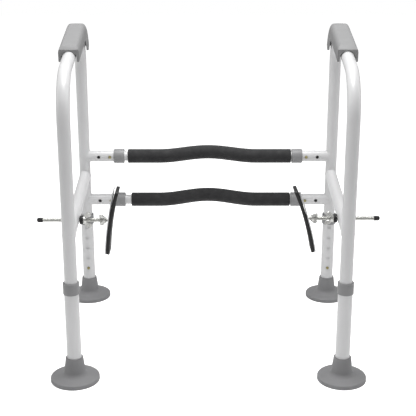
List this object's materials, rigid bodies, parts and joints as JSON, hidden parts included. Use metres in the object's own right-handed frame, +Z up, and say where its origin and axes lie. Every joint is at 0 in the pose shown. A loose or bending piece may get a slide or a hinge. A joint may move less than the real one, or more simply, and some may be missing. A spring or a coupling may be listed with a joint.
{
  "type": "toilet safety frame",
  "caption": "Free-standing toilet safety frame: two bent-tube side handrails on height-adjustable legs, joined by foam-covered crossbars at the back, with screw-fed clamp pads.",
  "frame": {"origin": "on the floor, at the centre of the frame's footprint", "axes": "+X to the right as seen from the front (the user's side), +Y to the rear where the crossbars are, +Z up"},
  "size_m": [0.6812, 0.5243, 0.6563],
  "materials": {
    "white_paint": "smooth white powder coat",
    "bar_paint": "smooth white powder coat",
    "plate_paint": "smooth white powder coat",
    "grip_grey": "matt light grey soft plastic",
    "collar_grey": "matt mid grey plastic",
    "foot_rubber": "matt grey rubber",
    "foam_black": "matt black closed-cell foam",
    "rubber_black": "black rubber",
    "cap_black": "black plastic cap",
    "zinc_steel": "bright zinc plate",
    "button_brass": "yellow-passivated steel, seen as dull brass"
  },
  "bodies": {
    "crossbars": {"upper_crossbar_tube": "bar_paint", "lower_crossbar_tube": "bar_paint", "upper_foam_sleeve": "foam_black", "lower_foam_sleeve": "foam_black"},
    "left_side_frame": {"left_side_frame_tube": "white_paint", "left_brace_tube": "white_paint", "left_handle_grip": "grip_grey", "left_upper_stub_tube": "white_paint", "left_lower_stub_tube": "white_paint", "left_upper_bar_collar": "collar_grey", "left_lower_bar_collar": "collar_grey", "left_brace_washer": "rubber_black"},
    "left_front_leg": {"left_front_lower_leg": "white_paint", "left_front_leg_collar": "collar_grey", "left_front_foot": "foot_rubber"},
    "left_front_leg_button": {"left_front_leg_snap_button": "button_brass"},
    "left_rear_leg": {"left_rear_lower_leg": "white_paint", "left_rear_leg_collar": "collar_grey", "left_rear_foot": "foot_rubber"},
    "left_rear_leg_button": {"left_rear_leg_snap_button": "button_brass"},
    "left_upper_bar_button": {"left_upper_bar_snap_button": "button_brass"},
    "left_lower_bar_button": {"left_lower_bar_snap_button": "button_brass"},
    "left_clamp_rod": {"left_clamp_rod": "zinc_steel", "left_rod_cap": "cap_black"},
    "left_drive_nut": {"left_drive_wing_nut": "zinc_steel"},
    "left_lock_nut": {"left_lock_wing_nut": "zinc_steel"},
    "left_pad": {"left_pad_plate": "plate_paint", "left_pad_rubber": "rubber_black", "left_pad_pivot_pin": "zinc_steel"},
    "right_side_frame": {"right_side_frame_tube": "white_paint", "right_brace_tube": "white_paint", "right_handle_grip": "grip_grey", "right_upper_stub_tube": "white_paint", "right_lower_stub_tube": "white_paint", "right_upper_bar_collar": "collar_grey", "right_lower_bar_collar": "collar_grey", "right_brace_washer": "rubber_black"},
    "right_front_leg": {"right_front_lower_leg": "white_paint", "right_front_leg_collar": "collar_grey", "right_front_foot": "foot_rubber"},
    "right_front_leg_button": {"right_front_leg_snap_button": "button_brass"},
    "right_rear_leg": {"right_rear_lower_leg": "white_paint", "right_rear_leg_collar": "collar_grey", "right_rear_foot": "foot_rubber"},
    "right_rear_leg_button": {"right_rear_leg_snap_button": "button_brass"},
    "right_upper_bar_button": {"right_upper_bar_snap_button": "button_brass"},
    "right_lower_bar_button": {"right_lower_bar_snap_button": "button_brass"},
    "right_clamp_rod": {"right_clamp_rod": "zinc_steel", "right_rod_cap": "cap_black"},
    "right_drive_nut": {"right_drive_wing_nut": "zinc_steel"},
    "right_lock_nut": {"right_lock_wing_nut": "zinc_steel"},
    "right_pad": {"right_pad_plate": "plate_paint", "right_pad_rubber": "rubber_black", "right_pad_pivot_pin": "zinc_steel"}
  },
  "joints": [
    {"name": "left_width_slide", "type": "slide", "parent": "crossbars", "child": "left_side_frame", "axis": [1, 0, 0], "range_m": [0, 0.0254], "deforming": ["upper_foam_sleeve", "lower_foam_sleeve"]},
    {"name": "left_front_leg_slide", "type": "slide", "parent": "left_side_frame", "child": "left_front_leg", "axis": [0, 0, -1], "range_m": [0, 0.1016]},
    {"name": "left_front_leg_button_press", "type": "slide", "parent": "left_side_frame", "child": "left_front_leg_button", "axis": [0.0452, -0.999, 0], "range_m": [0, 0.004], "stiffness_N_per_m": 900, "springref_m": -0.003, "deforming": ["left_front_leg_snap_button"]},
    {"name": "left_rear_leg_slide", "type": "slide", "parent": "left_side_frame", "child": "left_rear_leg", "axis": [0, 0, -1], "range_m": [0, 0.1016]},
    {"name": "left_rear_leg_button_press", "type": "slide", "parent": "left_side_frame", "child": "left_rear_leg_button", "axis": [-0.0452, 0.999, 0], "range_m": [0, 0.004], "stiffness_N_per_m": 900, "springref_m": -0.003, "deforming": ["left_rear_leg_snap_button"]},
    {"name": "left_upper_bar_button_press", "type": "slide", "parent": "crossbars", "child": "left_upper_bar_button", "axis": [0, 1, 0], "range_m": [0, 0.004], "stiffness_N_per_m": 900, "springref_m": -0.003, "deforming": ["left_upper_bar_snap_button"]},
    {"name": "left_lower_bar_button_press", "type": "slide", "parent": "crossbars", "child": "left_lower_bar_button", "axis": [0, 1, 0], "range_m": [0, 0.004], "stiffness_N_per_m": 900, "springref_m": -0.003, "deforming": ["left_lower_bar_snap_button"]},
    {"name": "left_drive_nut_spin", "type": "hinge", "parent": "left_side_frame", "child": "left_drive_nut", "pos_m": [-0.2468, -0.1178, 0.3012], "axis": [-1, 0, 0], "range_deg": [-4035, 12965]},
    {"name": "left_rod_slide", "type": "slide", "parent": "left_side_frame", "child": "left_clamp_rod", "axis": [1, 0, 0], "range_m": [-0.014, 0.045]},
    {"name": "left_lock_nut_spin", "type": "hinge", "parent": "left_clamp_rod", "child": "left_lock_nut", "pos_m": [-0.207, -0.1178, 0.3012], "axis": [-1, 0, 0], "continuous": true},
    {"name": "left_pad_tilt", "type": "hinge", "parent": "left_clamp_rod", "child": "left_pad", "pos_m": [-0.196, -0.1178, 0.3012], "axis": [0, 1, 0], "range_deg": [-29.5, 10.5]},
    {"name": "right_width_slide", "type": "slide", "parent": "crossbars", "child": "right_side_frame", "axis": [-1, 0, 0], "range_m": [0, 0.0254], "deforming": ["upper_foam_sleeve", "lower_foam_sleeve"]},
    {"name": "right_front_leg_slide", "type": "slide", "parent": "right_side_frame", "child": "right_front_leg", "axis": [0, 0, -1], "range_m": [0, 0.1016]},
    {"name": "right_front_leg_button_press", "type": "slide", "parent": "right_side_frame", "child": "right_front_leg_button", "axis": [-0.0452, -0.999, 0], "range_m": [0, 0.004], "stiffness_N_per_m": 900, "springref_m": -0.003, "deforming": ["right_front_leg_snap_button"]},
    {"name": "right_rear_leg_slide", "type": "slide", "parent": "right_side_frame", "child": "right_rear_leg", "axis": [0, 0, -1], "range_m": [0, 0.1016]},
    {"name": "right_rear_leg_button_press", "type": "slide", "parent": "right_side_frame", "child": "right_rear_leg_button", "axis": [0.0452, 0.999, 0], "range_m": [0, 0.004], "stiffness_N_per_m": 900, "springref_m": -0.003, "deforming": ["right_rear_leg_snap_button"]},
    {"name": "right_upper_bar_button_press", "type": "slide", "parent": "crossbars", "child": "right_upper_bar_button", "axis": [0, 1, 0], "range_m": [0, 0.004], "stiffness_N_per_m": 900, "springref_m": -0.003, "deforming": ["right_upper_bar_snap_button"]},
    {"name": "right_lower_bar_button_press", "type": "slide", "parent": "crossbars", "child": "right_lower_bar_button", "axis": [0, 1, 0], "range_m": [0, 0.004], "stiffness_N_per_m": 900, "springref_m": -0.003, "deforming": ["right_lower_bar_snap_button"]},
    {"name": "right_drive_nut_spin", "type": "hinge", "parent": "right_side_frame", "child": "right_drive_nut", "pos_m": [0.2468, -0.1178, 0.3046], "axis": [1, 0, 0], "range_deg": [-4035, 12965]},
    {"name": "right_rod_slide", "type": "slide", "parent": "right_side_frame", "child": "right_clamp_rod", "axis": [-1, 0, 0], "range_m": [-0.014, 0.045]},
    {"name": "right_lock_nut_spin", "type": "hinge", "parent": "right_clamp_rod", "child": "right_lock_nut", "pos_m": [0.207, -0.1178, 0.3046], "axis": [1, 0, 0], "continuous": true},
    {"name": "right_pad_tilt", "type": "hinge", "parent": "right_clamp_rod", "child": "right_pad", "pos_m": [0.196, -0.1178, 0.3046], "axis": [0, 1, 0], "range_deg": [-3.5, 36.5]}
  ],
  "couplings": [
    {"joint": "left_drive_nut_spin", "follows": "left_rod_slide", "rad_per_m": 5026.5},
    {"joint": "right_drive_nut_spin", "follows": "right_rod_slide", "rad_per_m": 5026.5}
  ]
}
